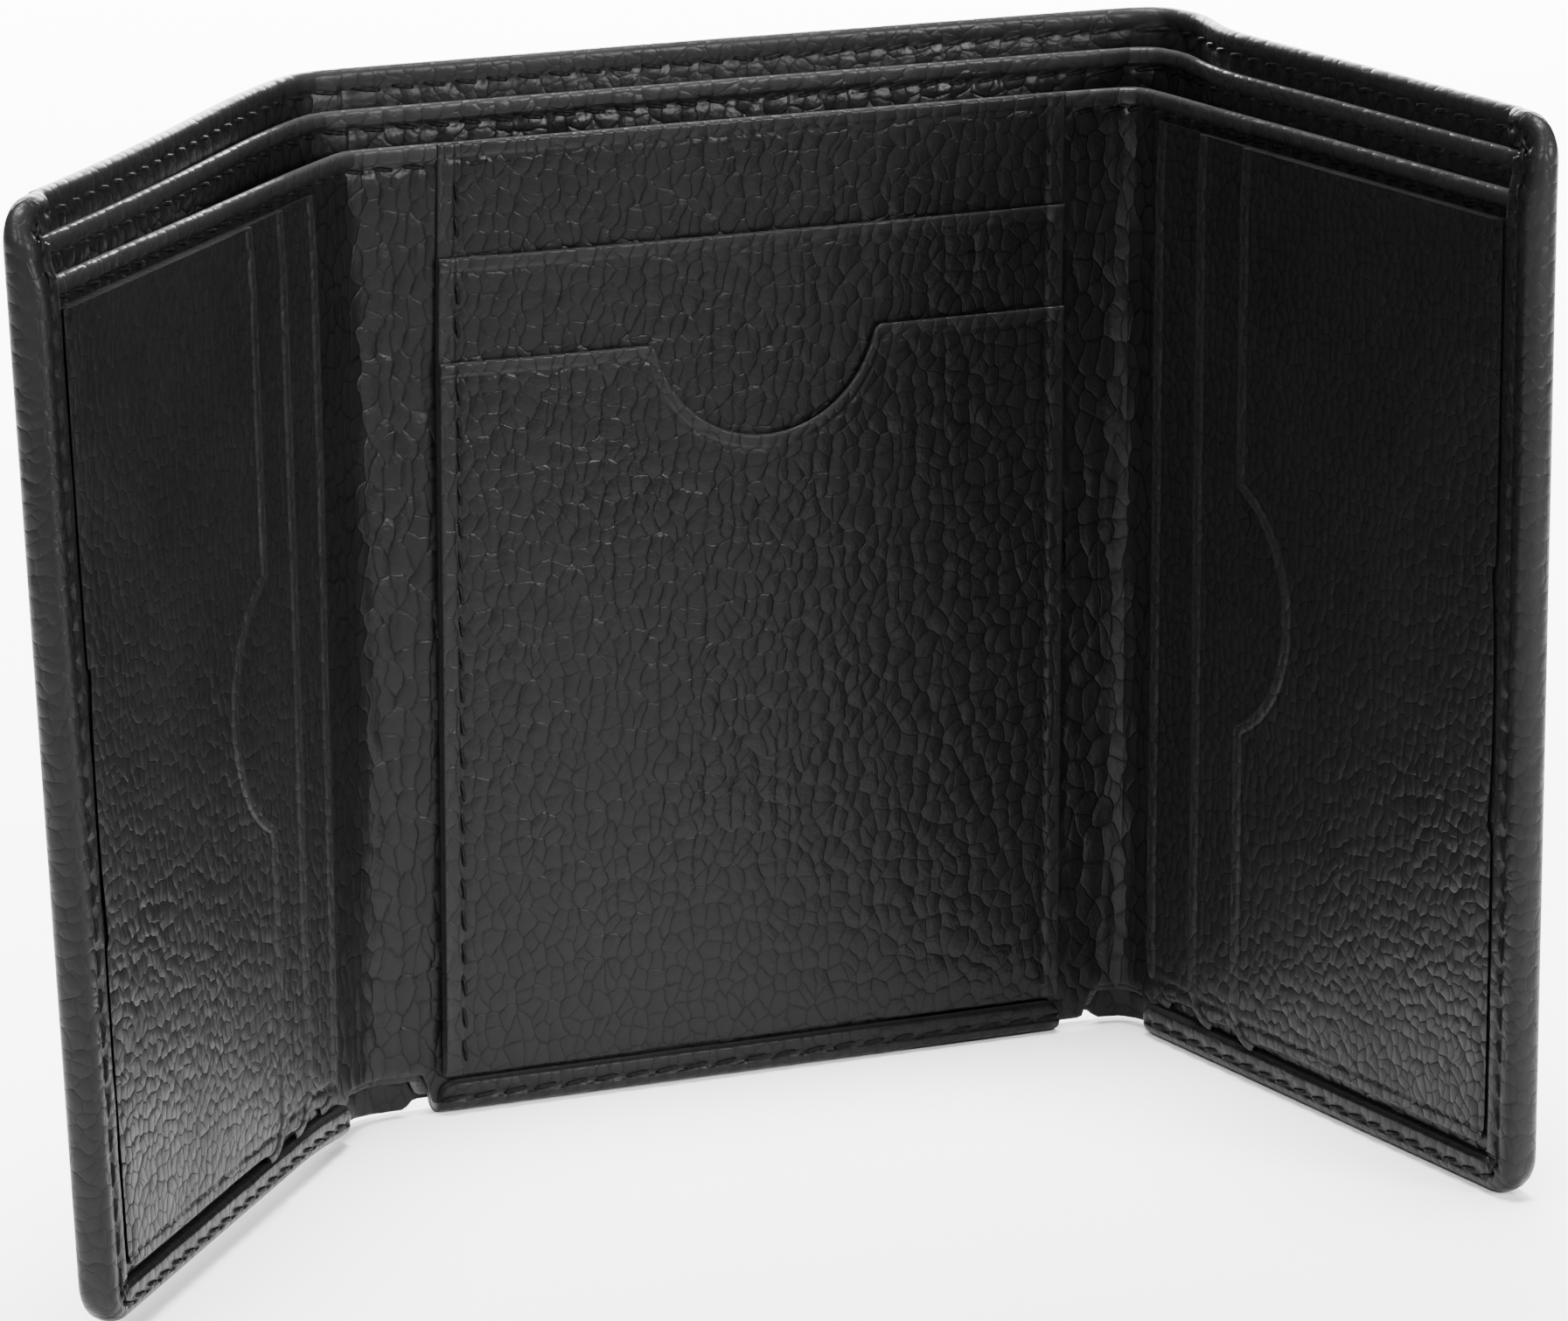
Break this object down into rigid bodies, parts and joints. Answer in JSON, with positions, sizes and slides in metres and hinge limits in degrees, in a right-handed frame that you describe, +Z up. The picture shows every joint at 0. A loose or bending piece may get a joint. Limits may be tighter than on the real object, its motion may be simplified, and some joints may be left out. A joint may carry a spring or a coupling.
{
  "type": "trifold wallet",
  "caption": "Trifold wallet in black grained leather with turned and stitched edges, staggered card pockets with thumb notches, and bill compartments open along the top.",
  "frame": {"origin": "below the middle of the centre card pockets, half-way through the centre panel's closed thickness, on the surface that the wallet stands on", "axes": "+Z up along the fold lines; +X along the centre panel, to the right seen from the card side; +Y out of the back of the centre panel's cover"},
  "size_m": [0.1467, 0.0764, 0.108],
  "materials": {
    "cover_leather": "black pebbled grain, turned edges, low sheen",
    "interior_leather": "black soft grain with folded top edges, low sheen",
    "pocket_leather": "black fine grain with folded edges, low sheen",
    "lining_cloth": "black woven lining",
    "stiffener_board": "pressed fibre board",
    "sewing_thread": "black twisted thread"
  },
  "bodies": {
    "centre": {"centre_cover": "cover_leather", "centre_stiffener": "stiffener_board", "centre_lining": "lining_cloth", "centre_divider": "interior_leather", "centre_front_wall": "interior_leather", "centre_top_pocket": "pocket_leather", "centre_middle_pocket": "pocket_leather", "centre_lower_pocket": "pocket_leather", "centre_bottom_hem": "cover_leather", "centre_edge_stitching": "sewing_thread", "centre_hem_stitching": "sewing_thread", "centre_pocket_stitching": "sewing_thread"},
    "left_spine": {"left_spine_cover": "cover_leather", "left_spine_lining": "lining_cloth", "left_spine_divider": "interior_leather", "left_spine_front_wall": "interior_leather", "left_spine_stitching": "sewing_thread"},
    "left_wing": {"left_wing_cover": "cover_leather", "left_wing_stiffener": "stiffener_board", "left_wing_lining": "lining_cloth", "left_wing_divider": "interior_leather", "left_wing_front_wall": "interior_leather", "left_wing_inner_pocket": "pocket_leather", "left_wing_middle_pocket": "pocket_leather", "left_wing_outer_pocket": "pocket_leather", "left_wing_bottom_hem": "cover_leather", "left_wing_side_hem": "cover_leather", "left_wing_edge_stitching": "sewing_thread", "left_wing_hem_stitching": "sewing_thread"},
    "right_spine": {"right_spine_cover": "cover_leather", "right_spine_lining": "lining_cloth", "right_spine_divider": "interior_leather", "right_spine_front_wall": "interior_leather", "right_spine_stitching": "sewing_thread"},
    "right_wing": {"right_wing_cover": "cover_leather", "right_wing_stiffener": "stiffener_board", "right_wing_lining": "lining_cloth", "right_wing_divider": "interior_leather", "right_wing_front_wall": "interior_leather", "right_wing_inner_pocket": "pocket_leather", "right_wing_middle_pocket": "pocket_leather", "right_wing_outer_pocket": "pocket_leather", "right_wing_bottom_hem": "cover_leather", "right_wing_side_hem": "cover_leather", "right_wing_edge_stitching": "sewing_thread", "right_wing_hem_stitching": "sewing_thread"}
  },
  "joints": [
    {"name": "left_fold", "type": "hinge", "parent": "centre", "child": "left_spine", "pos_m": [-0.0374, 0.00103, 0], "axis": [0, 0, 1], "range_deg": [-24.3, 65.7]},
    {"name": "left_wing_fold", "type": "hinge", "parent": "left_spine", "child": "left_wing", "pos_m": [-0.04834, -0.00391, 0], "axis": [0, 0, 1], "range_deg": [-24.3, 65.7]},
    {"name": "right_fold", "type": "hinge", "parent": "centre", "child": "right_spine", "pos_m": [0.0399, 0.00103, 0], "axis": [0, 0, -1], "range_deg": [-43, 47]},
    {"name": "right_wing_fold", "type": "hinge", "parent": "right_spine", "child": "right_wing", "pos_m": [0.04531, -0.00402, 0], "axis": [0, 0, -1], "range_deg": [-43, 47]}
  ],
  "couplings": [
    {"joint": "left_wing_fold", "follows": "left_fold", "ratio": 1},
    {"joint": "right_wing_fold", "follows": "right_fold", "ratio": 1}
  ]
}
